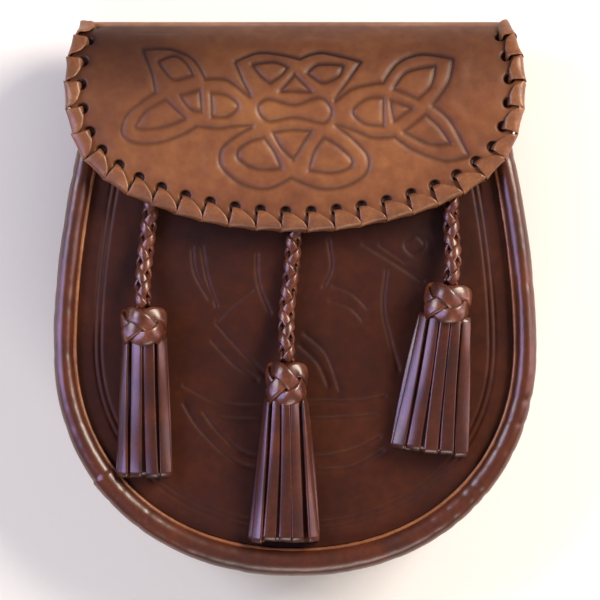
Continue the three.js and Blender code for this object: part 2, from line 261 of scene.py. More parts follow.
def smooth_path(points, steps):
    """Points at even parameters on one smooth curve through the given points."""
    ends = [points[0] * 2 - points[1]] + list(points) + [points[-1] * 2 - points[-2]]
    spans = len(points) - 1
    path = []
    for i in range(steps + 1):
        t = i / steps * spans
        k = min(int(t), spans - 1)
        f = t - k
        a, b, c, d = ends[k : k + 4]
        path.append(
            0.5 * (2 * b + (c - a) * f + (2 * a - 5 * b + 4 * c - d) * f * f + (3 * b - a - 3 * c + d) * f ** 3)
        )
    return path


def direction_at(path, i):
    return (path[min(i + 1, len(path) - 1)] - path[max(i - 1, 0)]).normalized()


def blend(low, high, t):
    return low + (high - low) * t


def ease(t):
    t = max(0.0, min(1.0, t))
    return t * t * (3 - 2 * t)


UP = Vector((0, 0, 1))

# %% [markdown]
# ## Braided cords
# Each tassel hangs on a round braid of four leather strings, two winding one way and two the other, each
# passing over one and under the next. A helix gives each string its way, and a sine lifts it over and under
# at the crossings. The route is the cord's own: out from under the flap, down the panel, and up into the
# middle of its knot. The points are those of the plain tubes in the frame.

# %% Cords
CORD_ROUTES = {
    "left": [
        (-47.6, 43.0, 36.2), (-47.9, 39.6, 36.2), (-48.3, 36.2, 36.2), (-48.7, 32.8, 36.2), (-49.1, 29.4, 36.2),
        (-49.6, 26.0, 36.2), (-50.0, 22.6, 36.2), (-50.4, 19.2, 36.3), (-50.8, 15.8, 36.5), (-51.1, 12.4, 37.3),
        (-51.4, 9.0, 38.5), (-51.6, 6.0, 39.8), (-51.6, 3.0, 40.9), (-51.4, 0.0, 41.5), (-51.2, -2.9, 41.6),
    ],
    "middle": [
        (1.3, 38.0, 36.2), (0.9, 33.8, 36.2), (0.5, 29.6, 36.2), (0.1, 25.4, 36.2), (-0.3, 21.2, 36.2),
        (-0.6, 17.0, 36.2), (-0.9, 12.8, 36.2), (-1.3, 8.6, 36.2), (-1.8, 4.4, 36.2), (-2.3, 0.2, 36.3),
        (-2.7, -3.8, 36.6), (-2.9, -7.6, 37.5), (-2.9, -11.4, 39.0), (-2.8, -16.4, 40.7), (-2.7, -21.4, 41.0),
    ],
    "right": [
        (51.6, 47.0, 36.2), (52.0, 44.0, 36.2), (52.4, 41.0, 36.2), (52.7, 38.0, 36.2), (53.0, 35.0, 36.2),
        (53.1, 32.0, 36.2), (53.1, 29.0, 36.2), (53.1, 26.0, 36.3), (53.2, 23.0, 36.7), (53.4, 20.0, 37.5),
        (53.6, 17.0, 38.6), (53.7, 14.0, 39.9), (53.5, 11.0, 41.1), (53.1, 8.0, 41.7), (52.6, 4.9, 41.8),
    ],
}
BRAID_TURN = 17.0  # length in which a string goes once round
STRING_WIDTH = 3.3
STRING_THICKNESS = 1.5
BRAID_RADIUS = 1.75
BRAID_LIFT = 0.5
CORE_RADIUS = 1.1  # plain string that fills the middle of the braid


def braid(side, route):
    points = [Vector(point) for point in route]
    steps = 110
    path = smooth_path(points, steps)
    length = sum((b - a).length for a, b in zip(path, path[1:]))
    bm = bmesh.new()
    for string in range(4):
        winding = 1 if string % 2 == 0 else -1
        start = string * math.pi / 2
        places = []
        centres = []
        normals = []
        travelled = 0.0
        for i, point in enumerate(path):
            if i:
                travelled += (point - path[i - 1]).length
            along = direction_at(path, i)
            sideways = along.cross(UP).normalized()
            upwards = sideways.cross(along)
            turn = travelled / BRAID_TURN * 2 * math.pi
            angle = start + winding * turn
            outwards = sideways * math.cos(angle) + upwards * math.sin(angle)
            radius = BRAID_RADIUS + winding * BRAID_LIFT * math.sin(2 * turn)
            centres.append(point + outwards * radius)
            normals.append(outwards)
        for i, centre in enumerate(centres):
            along = direction_at(centres, i)
            across = along.cross(normals[i]).normalized()
            lifted = across.cross(along)
            places.append(placement(centre, across * STRING_WIDTH / 2, lifted * STRING_THICKNESS / 2, along))
        strand = bmesh.new()
        sweep(strand, places, sides=10, squareness=0.8)
        join(bm, strand)
    core = bmesh.new()
    places = []
    for i, point in enumerate(path):
        along = direction_at(path, i)
        sideways = along.cross(UP).normalized()
        places.append(placement(point, sideways * CORE_RADIUS, sideways.cross(along) * CORE_RADIUS, along))
    sweep(core, places, sides=10)
    join(bm, core)
    bmesh.ops.recalc_face_normals(bm, faces=bm.faces)
    cord = finish_piece(bm, f"braided_cord_{side}", CORD_LEATHER)
    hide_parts(f"tassel_cord_{side}")
    return cord, path, length


CORDS = {side: braid(side, route) for side, route in CORD_ROUTES.items()}
for side, (cord, path, length) in CORDS.items():
    print(side, "cord:", round(length, 1), "mm,", len(cord.data.polygons), "faces")

# %% [markdown]
# ## The sporran's outline
# One outline rules every piece: a squarish round bottom below sides that draw in towards the mouth. The flap
# has its own edge, widest just below the fold, with rounded lower corners and a gently sagging lower edge.
# These are the pattern pieces, in millimetres, and every wall below is laid on one of them.

# %% Patterns
HALF_WIDTH = 82.3
WIDEST_Y = -16.0
BOTTOM_REACH = 79.0
BOTTOM_POWER = 2.15
MOUTH_Y = 75.0
SIDE_SHARE = 0.2  # part of the outline that each side takes
BACK_Z = 7.3
PANEL_Z = 32.6
FLAP_Z = 43.4
CROWN = 0.8
TOP_Y = 95.0
FOLD_Z = 22.0
BACK_SHARE = 0.18  # where the back ends and the fold begins, along the back and flap
FOLD_SHARE = 0.75  # where the fold ends and the flap's front begins


def crowded(u):
    """Columns crowd towards both edges, where the outline turns fastest."""
    return math.sin(math.pi * (u - 0.5))


def side_half_width(y):
    return HALF_WIDTH - 0.00425 * max(0.0, y - WIDEST_Y) ** 1.8


def bottom_drop(across, reach):
    return reach * max(0.0, 1 - abs(across) ** BOTTOM_POWER) ** (1 / BOTTOM_POWER)


def outline(t, side_inset, bottom_inset, z):
    """Point on the outline, from the left end of the mouth (0) round the bottom to its right end (1)."""
    side = -1 if t < 0.5 else 1
    along = (t if side < 0 else 1 - t) / SIDE_SHARE
    if along < 1:
        y = blend(MOUTH_Y, WIDEST_Y, along)
        return Vector((side * (side_half_width(y) - side_inset), y, z))
    angle = math.pi * (t - SIDE_SHARE) / (1 - 2 * SIDE_SHARE)
    across = -math.copysign(abs(math.cos(angle)) ** (2 / BOTTOM_POWER), math.cos(angle))
    down = max(0.0, math.sin(angle)) ** (2 / BOTTOM_POWER)
    return Vector((across * (HALF_WIDTH - side_inset), WIDEST_Y - down * (BOTTOM_REACH - bottom_inset), z))


def flap_half_width(y):
    above = max(0.0, y - 74) / 21
    below = min(1.0, max(0.0, 74 - y) / 21)
    return 76.5 - 4.9 * above ** 2 - 4 * below ** 2.5


def flap_lower_edge(across):
    return 23.6 + 0.0038 * (72.5 * across) ** 2 + 7.9 * abs(across) ** 10


def back_and_flap(across, along):
    """Outer face from the back's bottom edge (0) up the back, over the fold and down to the flap's edge (1)."""
    fold_half_width = flap_half_width(TOP_Y)
    if along <= BACK_SHARE:
        lowest = WIDEST_Y - bottom_drop(across, BOTTOM_REACH - 1)
        y = blend(lowest, TOP_Y - 15, along / BACK_SHARE)
        return Vector((across * max(side_half_width(y) - 1, fold_half_width), y, BACK_Z))
    z = FLAP_Z + CROWN * (1 - across ** 2)
    if along <= FOLD_SHARE:
        turn = math.pi * (along - BACK_SHARE) / (FOLD_SHARE - BACK_SHARE)
        if turn < math.pi / 2:
            y = TOP_Y - 15 + 15 * math.sin(turn)
            return Vector((across * fold_half_width, y, FOLD_Z - (FOLD_Z - BACK_Z) * math.cos(turn)))
        y = TOP_Y - 33 + 33 * math.sin(turn)
        return Vector((across * flap_half_width(y), y, FOLD_Z - (z - FOLD_Z) * math.cos(turn)))
    y = blend(TOP_Y - 33, flap_lower_edge(across), (along - FOLD_SHARE) / (1 - FOLD_SHARE))
    return Vector((across * flap_half_width(y), y, z))


def front_panel(u, v):
    across = crowded(u)
    y = blend(MOUTH_Y, WIDEST_Y - bottom_drop(across, BOTTOM_REACH - 9.3), v)
    height = max(0.0, 1 - ((y - WIDEST_Y) / BOTTOM_REACH) ** 2)
    return Vector((across * (side_half_width(y) - 7.3), y, PANEL_Z + CROWN * (1 - across ** 2) * height))


def even_points(curve, count, fine=900):
    """count + 1 points at equal spacing along curve(t), and their values of t."""
    samples = [curve(i / fine) for i in range(fine + 1)]
    reached = [0.0]
    for a, b in zip(samples, samples[1:]):
        reached.append(reached[-1] + (b - a).length)
    places = []
    k = 0
    for i in range(count + 1):
        wanted = reached[-1] * i / count
        while k < fine - 1 and reached[k + 1] < wanted:
            k += 1
        part = (wanted - reached[k]) / (reached[k + 1] - reached[k])
        places.append((blend(samples[k], samples[k + 1], part), (k + part) / fine))
    return places


print("outline:", round(2 * HALF_WIDTH, 1), "mm wide")

# %% [markdown]
# ## Cut and tooled leather
# Each wall starts as a grid laid on its pattern and gets its thickness behind. The face that shows is then
# divided finely and moved by a relief, the way a bevel foot presses the leather while it is damp. How deep a
# point is pressed depends on its distance to the nearest tooled line, which a k-d tree finds quickly.

# %% Walls and tooling
def laid_wall(face, thickness, columns, rows):
    """A leather wall on face(u, v). Returns the bmesh and the faces of its outer side."""
    bm = bmesh.new()
    for layer in ("u", "v", "pressed"):
        bm.verts.layers.float.new(layer)
    u = bm.verts.layers.float["u"]
    v = bm.verts.layers.float["v"]
    bmesh.ops.create_grid(bm, x_segments=columns, y_segments=rows, size=0.5)
    for vert in bm.verts:
        vert[u] = vert.co.x + 0.5
        vert[v] = 0.5 - vert.co.y
        vert.co = face(vert[u], vert[v])
    bm.normal_update()
    outer = bm.faces[:]
    bmesh.ops.solidify(bm, geom=outer, thickness=thickness)
    return bm, outer


def refine(bm, outer, cuts):
    """Divide the outer faces and return all vertices of the divided area."""
    edges = list({edge for face in outer for edge in face.edges})
    made = bmesh.ops.subdivide_edges(bm, edges=edges, cuts=cuts, use_grid_fill=True)["geom_inner"]
    verts = {vert for face in outer if face.is_valid for vert in face.verts}
    return verts | {g for g in made if isinstance(g, bmesh.types.BMVert)}


def press(bm, verts, face, relief):
    """Lay the vertices on the face again and move each by relief(point, u, v), which gives height and darkening (dye,
    and painted shade).
    """
    u = bm.verts.layers.float["u"]
    v = bm.verts.layers.float["v"]
    pressed = bm.verts.layers.float["pressed"]
    small = 0.002
    for vert in verts:
        here = face(vert[u], vert[v])
        du = 1 if vert[u] < 0.5 else -1
        dv = 1 if vert[v] < 0.5 else -1
        rightwards = (face(vert[u] + du * small, vert[v]) - here) * du
        downwards = (face(vert[u], vert[v] + dv * small) - here) * dv
        height, dye_and_shade = relief(here, vert[u], vert[v])
        vert.co = here + downwards.cross(rightwards).normalized() * height
        vert[pressed] = dye_and_shade


def tooled_line(points, closed=False, gap=0.12):
    """Points along a tooled line through (x, y, corner) points, where corner 1 makes a sharp turn."""
    spots = [Vector((p[0], p[1], 0)) for p in points]
    corner = [len(p) > 2 and p[2] == 1 for p in points]
    n = len(spots)
    line = []
    for i in range(n if closed else n - 1):
        j = (i + 1) % n
        before = spots[i - 1] if closed or i else spots[i]
        after = spots[(j + 1) % n] if closed or j < n - 1 else spots[j]
        leave = Vector() if corner[i] else (spots[j] - before) / 2
        arrive = Vector() if corner[j] else (after - spots[i]) / 2
        steps = max(2, int((spots[j] - spots[i]).length / gap))
        for k in range(steps):
            t = k / steps
            line.append(
                spots[i] * (2 * t ** 3 - 3 * t ** 2 + 1) + leave * (t ** 3 - 2 * t ** 2 + t)
                + spots[j] * (3 * t ** 2 - 2 * t ** 3) + arrive * (t ** 3 - t ** 2)
            )
    return line


def tree_of(points):
    tree = kdtree.KDTree(len(points))
    for i, point in enumerate(points):
        tree.insert((point[0], point[1], 0), i)
    tree.balance()
    return tree


def distance_to(tree, point):
    return tree.find((point.x, point.y, 0))[2]


def groove(distance, half_width):
    return math.exp(-((distance / half_width) ** 2))


# %% [markdown]
# ## Front panel
# The panel is the darkest leather. A modelling tool has drawn a faint roundel of paired lines on it, and a
# firm double line follows its edge. The lines run in pairs and cross like an interlace. They are shallow, so
# they show only where the light grazes them.

# %% Front panel
PANEL_LINES = [
    [(-38, -29.8), (-26.7, -35.5), (-14.7, -37.2), (6.3, -35.5), (19.9, -35.5), (30.7, -33.6)],
    [(-25.5, -41.2), (-14.7, -41.8), (14.2, -41.2), (27.9, -40.1)],
    [(-38, -36.1), (-31.2, -46.3), (-16.4, -57.7), (8.5, -58.8), (19.9, -57.7), (30.1, -52)],
    [(-31.2, -38.9), (-25.5, -46.3), (-15.3, -53.7), (7.4, -54.3), (19.9, -52), (29, -47.5)],
    [(-26.7, -8.8), (-17.6, -19), (-9.6, -27)],
    [(-28.4, -14.5), (-21, -22.4), (-13, -28.1)],
    [(3.4, -12.2), (10.8, -19), (15.4, -31.5)],
    [(1.7, -16.2), (8, -22.4), (11.4, -30)],
    [(13.1, 4.3), (19.9, 1.4), (25, -3.7)],
    [(12, -0.8), (18.8, -3.1), (23.3, -7.7)],
    [(-35.2, 17.3), (-34, 8.2), (-29, -0.9)],
    [(-31.8, 17.3), (-30.1, 7.1), (-26.7, -3.1)],
    [(-26.7, -7.7), (-21, -2), (-14.7, 2.6)],
    [(-13, 15.1), (-12.5, 4.8), (-8.5, -5.4)],
    [(11.4, 19.6), (12.5, 10.5), (9.7, 3.7)],
    [(23.3, 18.5), (33.6, 12.2), (43.8, 5.4)],
    [(29, 17.9), (38.1, 11.7)],
    [(31.3, 9.4), (30.1, -3.1), (32.4, -14.5), (35.3, -24.7)],
]
PANEL_RING = [(44.4, 17.9), (41, 21.3), (37.6, 17.9), (41, 14.5)]
BORDER_INSETS = (7.3 + 6.6, 7.3 + 8.6)

faint_points = tooled_line(PANEL_RING, closed=True)
for tooled in PANEL_LINES:
    faint_points += tooled_line(tooled)
border_points = []
for inset in BORDER_INSETS:
    border_points += [p for p, t in even_points(lambda t: outline(t, inset, inset + 2, 0), 3000, 3000)]
faint_tree = tree_of(faint_points)
border_tree = tree_of(border_points)


def panel_relief(point, u, v):
    if point.y > 45:
        return 0.0, 0.0
    faint = groove(distance_to(faint_tree, point), 0.62)
    border = groove(distance_to(border_tree, point), 0.5)
    soft = 0.16 * noise.noise(point * 0.045) + 0.05 * noise.noise(point * 0.35)
    return soft - 0.52 * faint - 0.4 * border, 0.12 * faint + 0.2 * border


def lower_rows(v):
    """Rows crowd below the flap, where the panel shows."""
    return 0.32 * v / 0.12 if v < 0.12 else 0.32 + 0.68 * (v - 0.12) / 0.88


panel_face = lambda u, v: front_panel(u, lower_rows(v))
bm, outer = laid_wall(panel_face, 2.2, 96, 46)
press(bm, refine(bm, outer, 3), panel_face, panel_relief)
panel = finish_piece(bm, "tooled_front_panel", PANEL_LEATHER)
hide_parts("front_panel")
print("panel:", len(panel.data.polygons), "faces")

# %% [markdown]
# ## Rim and gusset
# The gusset is one long strip round the sides and bottom. Its front edge is turned over a cord and sewn down,
# which makes a fat shiny roll. The roll puckers where it goes round the bends, and its two ends overlap low on
# the left; its lower part is darkened with painted shade. Inside the roll the turned edge lies as a thin lip
# along the panel, in a lighter leather that is a painted highlight. The gusset is darker towards both edges,
# painted shade under the rim and next to the back.

# %% Rim and gusset
RIM_Z = 33.8
RIM_STEPS = 520
random.seed(7)
# Along the rim as t, across as an angle, with depth and half width in millimetres
PUCKERS = [(random.uniform(0.04, 0.96), random.uniform(0, 6.28), random.uniform(0.06, 0.2),
            random.uniform(0.9, 2.4)) for _ in range(26)]
PUCKERS += [(0.757, 2.9, 0.3, 1.3), (0.737, 2.6, 0.25, 1.2), (0.655, 2.4, 0.25, 1.3), (0.668, 2.9, 0.2, 1.1)]
JOIN_AT = 0.318


def rim_thickness(t):
    """How much the roll swells or puckers at t, in millimetres."""
    swell = 0.22 * noise.noise(Vector((t * 26, 3, 0))) + 0.06 * noise.noise(Vector((t * 90, 9, 0)))
    for place, _, depth, width in PUCKERS:
        swell -= depth * math.exp(-(((t - place) * 390 / width) ** 2))
    if t > JOIN_AT:
        swell += 0.5 * math.exp((JOIN_AT - t) * 60)
    return swell


def roll_along(bm, half_width_at, half_height, inset_at, z, steps, sides, squareness=1.0, swell=None):
    points = even_points(lambda t: outline(t, *inset_at(t), z), steps)
    path = [p for p, t in points]
    places = []
    for i, (point, t) in enumerate(points):
        along = direction_at(path, i)
        more = swell(t) if swell else 0.0
        across = UP.cross(along) * (half_width_at(t) + more)
        places.append(placement(point, across, UP * (half_height + more), along))
    sweep(bm, places, sides=sides, squareness=squareness)


def bottom_share(t):
    return math.sin(math.pi * t) ** 4


bm = bmesh.new()
roll_along(
    bm, lambda t: blend(3.5, 4.5, bottom_share(t)), 3.9, lambda t: (3.5, 4.5), RIM_Z, RIM_STEPS, 26,
    swell=rim_thickness,
)
bmesh.ops.recalc_face_normals(bm, faces=bm.faces)
# Painted shade: the lower part of the roll, below its middle, is darkened.
painted_underside_shade = bm.verts.layers.float.new("pressed")
for vert in bm.verts:
    vert.co.z += 0.1 * noise.noise(vert.co * 0.4)
    low = max(0.0, (RIM_Z - 0.6 - vert.co.z) / 3.3)
    vert[painted_underside_shade] = 0.55 * low
rim = finish_piece(bm, "rolled_rim", RIM_LEATHER)
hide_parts("rim_roll")

# Lighter leather for the lip: a painted highlight along the inside of the rim.
bm = bmesh.new()
roll_along(
    bm, lambda t: 0.75, 0.95, lambda t: (7.15, 9.15 - 0.35), RIM_Z + 0.5, 360, 10, squareness=0.75,
    swell=lambda t: 0.12 * noise.noise(Vector((t * 160, 1, 0))),
)
bmesh.ops.recalc_face_normals(bm, faces=bm.faces)
lip = finish_piece(bm, "turned_lip_inside_the_rim", LIP_LEATHER)


def gusset_face(u, v):
    inset = 1 + 2 * math.sin(math.pi * v)
    wave = 0.35 * noise.noise(Vector((u * 60, v * 3, 5)))
    return outline(u, inset + wave, inset + wave, blend(29.0, 10.8, v))


bm, outer = laid_wall(gusset_face, 2.0, 300, 12)
# Painted shade: the gusset is darker towards both edges, under the rim and next to the back.
press(bm, {v for f in outer for v in f.verts}, gusset_face, lambda p, u, v: (0.0, 0.25 * abs(2 * v - 1) ** 6))
gusset = finish_piece(bm, "gusset_strip", GUSSET_LEATHER)
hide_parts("gusset")
print("rim:", len(rim.data.polygons), "faces; gusset:", len(gusset.data.polygons), "faces")

# %% [markdown]
# ## Back and flap
# One lighter hide makes the back, folds over the top and ends as the flap. The flap was pressed with a plate:
# a Celtic knot of wide bands, outlined by deep grooves in which the dye has settled. The bands stand slightly
# proud and the small cells between them are low. Holes for the lacing are punched just inside the edge: each
# is a dent painted near-black inside and darker round it, painted shade for the hole. Painted shade also
# darkens the flap towards its top and its upper left.

# %% Knotwork lines
KNOT_OUTLINE = [
    (13.4, 66.4), (18.8, 70.3), (26, 72.2), (29.8, 72.6, 1), (34.6, 79.4), (42.7, 82.6), (53.6, 81, 1),
    (51.9, 73.2), (46.5, 65, 1), (52.6, 59.4), (58.8, 47.8, 1), (50.8, 46.2), (40.4, 49.6), (33.4, 54.3, 1),
    (26, 54.1), (19.8, 56.4), (13.8, 58.2), (19.5, 53.5), (24.6, 47.5), (23.6, 41.5), (16, 37.3), (7.5, 37),
    (-1.6, 40.4, 1), (-9.5, 36.8), (-18.6, 38.6), (-25, 44.6), (-24.6, 50.4), (-19.5, 54.8), (-14.6, 57.8),
    (-20.5, 57.9), (-26, 57.2), (-33.4, 57.8, 1), (-38.5, 54.9), (-46, 52.4), (-54.5, 52.3), (-58.6, 55.8),
    (-56.2, 62.4), (-47.2, 69.4, 1), (-48.6, 76.2), (-51.8, 84.2, 1), (-42.5, 84.4), (-34.6, 80.8),
    (-30.4, 73.8, 1), (-23, 73.6), (-15.4, 68), (-17.8, 73.6), (-20.4, 80, 1), (-13, 83), (-5.5, 82.6),
    (1.6, 81, 1), (9, 83.2), (22.4, 80, 1), (18.6, 74.5),
]
KNOT_CELLS = [
    [(-12.5, 63.9), (-9.3, 67), (-0.4, 65.1), (8.2, 67.5), (12.3, 63.3), (9.7, 59), (-0.4, 60.8), (-9.2, 59.6)],
    [(-14.6, 79, 1), (-7.4, 79.9), (-2.6, 78.2, 1), (-4.8, 75.2), (-8.5, 72.6, 1), (-11.5, 75)],
    [(4.2, 76.2, 1), (8, 79), (16.2, 78.8, 1), (14.8, 75), (9.7, 72.7), (6.5, 74.3)],
    [(-4.9, 69.8, 1), (-0.2, 75.6, 1), (5.4, 69.6, 1)],
    [(-7.4, 55.7, 1), (-0.9, 56.6), (5.4, 56.1, 1), (2.4, 51.5), (-0.6, 46.6, 1), (-4.6, 50.5)],
    [(-10.6, 54, 1), (-6.9, 48.9), (-4.8, 43.6, 1), (-13, 43.4), (-18.9, 46.5), (-19, 49.8), (-15.3, 52.6)],
    [(9.6, 54, 1), (14.2, 51.3), (19, 46.8), (18.2, 43.8), (12, 42.1), (4.8, 43, 1), (6.2, 48.5)],
    [(-28.4, 69.2, 1), (-23, 68.3), (-19.2, 64.6), (-22.8, 61.2), (-28, 61, 1)],
    [(29.8, 67.4, 1), (24.4, 67.2), (19.6, 63), (23, 58.9), (29.8, 58, 1)],
    [(-38.9, 68.3, 1), (-32.2, 70.3, 1), (-31.6, 62.8, 1), (-35.4, 63.7)],
    [(32.2, 66.6, 1), (39.5, 63.9, 1), (33.4, 59.6, 1)],
    [(-54, 57.4, 1), (-50.5, 62.7), (-43.7, 66.8, 1), (-37, 60.4, 1), (-43, 58), (-50.5, 56.8)],
    [(-46.4, 80.2, 1), (-44, 76.5), (-40.6, 73.7), (-34.6, 75.4, 1), (-37, 79.6), (-41, 82)],
    [(33.4, 70.6, 1), (37.6, 76.3), (47.6, 78.6, 1), (45.9, 71.6), (41.4, 67.2, 1)],
    [(36.8, 55.9, 1), (43.9, 61.8, 1), (48.8, 57.5), (52.6, 51.9, 1), (44.8, 52)],
]
knot_points = tooled_line(KNOT_OUTLINE, closed=True)
for cell in KNOT_CELLS:
    knot_points += tooled_line(cell, closed=True)
knot_tree = tree_of(knot_points)
print("knotwork:", len(KNOT_CELLS), "cells")

# %% [markdown]
# ## Where the lacing goes
# The thong goes through 29 holes at equal spacing, from the left end of the fold, down the side, along the
# lower edge and up the right side. The frame at any place of the edge has the way along it, the way out from
# it and the way out of the leather.

# %% Flap edge
HOLES = 29
HOLE_RADIUS = 1.75


def flap_edge(t):
    """(across, along) on the flap's edge, from the left end of the fold (0) to the right end (1)."""
    start = BACK_SHARE + 0.58 * (FOLD_SHARE - BACK_SHARE)
    side = -1 if t < 0.5 else 1
    along = (t if side < 0 else 1 - t) / 0.2
    if along < 1:
        return side, blend(start, 1, along)
    return blend(-1, 1, (t - 0.2) / 0.6), 1.0


edge_places = even_points(lambda t: back_and_flap(*flap_edge(t)), 600, 2400)
EDGE_LENGTH = sum((b[0] - a[0]).length for a, b in zip(edge_places, edge_places[1:]))
PITCH = EDGE_LENGTH / HOLES


def edge_frame(distance):
    """Point, way along, way out and way up at a distance along the flap's edge, with rounded corners."""
    i = max(1, min(599, distance / EDGE_LENGTH * 600))
    k = min(598, int(i))
    point = blend(edge_places[k][0], edge_places[k + 1][0], i - k)
    reach = 14
    before = edge_places[max(0, k - reach)][0]
    after = edge_places[min(600, k + reach)][0]
    along = (after - before).normalized()
    across, down = flap_edge(edge_places[k][1])
    small = 0.004
    inner = back_and_flap(across - math.copysign(small, across), down)
    rightwards = (back_and_flap(across, down) - inner) * math.copysign(1, across)
    upwards = back_and_flap(across, down) - back_and_flap(across, down - small)
    up = upwards.cross(rightwards).normalized()
    out = along.cross(up).normalized()
    return point, along, out, up


def hole_inset(distance):
    """Holes lie further in along the lower edge than at the sides."""
    low = ease((edge_frame(distance)[2].dot(Vector((0, -1, 0))) - 0.3) / 0.5)
    return blend(4.0, 5.4, low)


hole_spots = []
for k in range(HOLES):
    here, along, out, up = edge_frame((k + 0.12) * PITCH)
    hole_spots.append(here - out * hole_inset((k + 0.12) * PITCH))
hole_tree = kdtree.KDTree(HOLES)
for k, spot in enumerate(hole_spots):
    hole_tree.insert(spot, k)
hole_tree.balance()
print("lacing:", HOLES, "holes,", round(PITCH, 1), "mm apart")

# %% Back and flap
def flap_relief(point, u, v):
    across, along = 2 * u - 1, v
    soft = 0.3 * noise.noise(point * 0.04) + 0.07 * noise.noise(point * 0.3)
    if along < 0.5:
        return soft * 0.4, 0.0
    to_hole = hole_tree.find(point)[2]
    # hole is a dent painted near-black inside, painted shade for the lacing hole; dimple darkens the dip round it with
    # painted shade.
    hole = 1 - ease((to_hole - HOLE_RADIUS + 0.45) / 0.8)
    dimple = groove(to_hole, 2.6)
    if point.y > 90 or abs(point.x) > 66:
        line = 0.0
        puff = 0.0
    else:
        to_line = distance_to(knot_tree, point)
        firm = blend(0.55, 1.0, ease((point.x - point.y + 130) / 60))
        line = groove(to_line, 0.75) * firm
        puff = 0.3 * (1 - groove(to_line, 1.9)) * groove(max(0.0, to_line - 3.2), 2.5) * firm
    # Painted shade: the flap is darker towards its top, where the fold turns away, and towards its upper left.
    painted_shade_top_left = 0.52 * ease((point.y - 60) / 30) + 0.36 * ease((5 - point.x) / 80) * ease((point.y - 30) / 50)
    height = soft + puff - 0.55 * line - 1.9 * hole - 0.4 * dimple * (1 - hole)
    return height, min(1.0, painted_shade_top_left + 0.6 * line + 0.97 * hole + 0.3 * dimple)


def flap_rows(v):
    """Few rows on the plain back, most on the front of the flap."""
    if v < 0.2:
        return blend(0, BACK_SHARE, v / 0.2)
    if v < 0.38:
        return blend(BACK_SHARE, 0.5, (v - 0.2) / 0.18)
    return blend(0.5, 1.0, (v - 0.38) / 0.62)


def flap_face(u, v):
    return back_and_flap(2 * u - 1, flap_rows(v))


def back_columns(u, v):
    """Columns crowd to the edges on the back, for its round bottom, and spread evenly on the flap."""
    even = 2 * u - 1
    return blend(crowded(u), even, ease(flap_rows(v) / BACK_SHARE))


def one_piece(u, v):
    return back_and_flap(back_columns(u, v), flap_rows(v))


bm, outer = laid_wall(one_piece, 2.6, 84, 64)
v_layer = bm.verts.layers.float["v"]
fine = [f for f in outer if min(vert[v_layer] for vert in f.verts) > 0.41]
plain = {vert for f in outer for vert in f.verts}
verts = refine(bm, fine, 3) | {vert for vert in plain if vert.is_valid}
press(bm, verts, one_piece, lambda p, u, v: flap_relief(p, u, flap_rows(v)))
hide = finish_piece(bm, "back_and_flap_in_one_hide", FLAP_LEATHER)
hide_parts("back_and_flap")
print("back and flap:", len(hide.data.polygons), "faces")

# %% [markdown]
# ## Whip-stitched lacing
# One long thong comes up through a hole, fans out flat over the edge and goes back to the next hole from
# behind. Pulled tight, each stitch is narrow in its hole and nearly as wide as the pitch at the edge, so the
# edge is covered. Every stitch is the same ring extruded along that way.

# %% Lacing
# Along the edge as a part of the pitch, out from the edge, above the leather, and the thong's width
STITCH = [
    (0.14, -5.0, -1.6, 2.3), (0.17, -4.8, -0.3, 2.6), (0.22, -4.2, 0.55, 3.6), (0.3, -2.8, 0.75, 5.6),
    (0.4, -0.9, 0.75, 8.1), (0.46, 0.4, 0.3, 9.5), (0.5, 0.8, -0.8, 10.0), (0.54, 0.8, -2.0, 9.6),
    (0.6, 0.5, -3.4, 7.0), (0.72, -1.6, -3.75, 5.0), (0.92, -3.9, -3.7, 3.4), (1.1, -5.0, -3.1, 2.5),
    (1.12, -5.0, -1.8, 2.3),
]


def stitch(k):
    random.seed(100 + k)
    slack = random.uniform(-0.18, 0.22)
    lean = random.uniform(-0.04, 0.04)
    centres = []
    ways_along = []
    widths = []
    spots = 34
    for i in range(spots + 1):
        t = i / spots * (len(STITCH) - 1)
        a = min(int(t), len(STITCH) - 2)
        f = t - a
        knots = [STITCH[max(0, min(len(STITCH) - 1, a + j))] for j in (-1, 0, 1, 2)]
        row = [
            0.5 * (2 * b + (c - z) * f + (2 * z - 5 * b + 4 * c - d) * f * f + (3 * b - z - 3 * c + d) * f ** 3)
            for z, b, c, d in zip(*knots)
        ]
        distance = (k + row[0] + lean * math.sin(math.pi * i / spots)) * PITCH
        point, along, out, up = edge_frame(distance)
        inset = hole_inset(distance) / 5.5
        outwards = row[1] * inset if row[1] < 0 else row[1] * (1 + slack)
        centres.append(point + out * outwards + up * (row[2] + slack * 0.4 * math.sin(math.pi * i / spots)))
        ways_along.append(along)
        widths.append(row[3])
    places = []
    for i, centre in enumerate(centres):
        way = direction_at(centres, i)
        across = (ways_along[i] - way * ways_along[i].dot(way)).normalized()
        lift = across.cross(way)
        places.append(placement(centre, across * widths[i] / 2, lift * 0.5, way))
    bm = bmesh.new()
    sweep(bm, places, sides=14, squareness=0.62)
    return bm


bm = bmesh.new()
for k in range(HOLES):
    join(bm, stitch(k))
bmesh.ops.recalc_face_normals(bm, faces=bm.faces)
lacing = finish_piece(bm, "whip_stitched_thong", LACE_LEATHER)
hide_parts("flap_lacing")
print("lacing:", len(lacing.data.polygons), "faces")

# %% [markdown]
# ## Knots of the tassels
# Each tassel is gathered by a woven ring knot: one flat thong that goes three times round and passes over and
# under itself. Three turns with four bends at each end keep the weave regular. It sits on a dark core, the
# bundled tops of the strips.

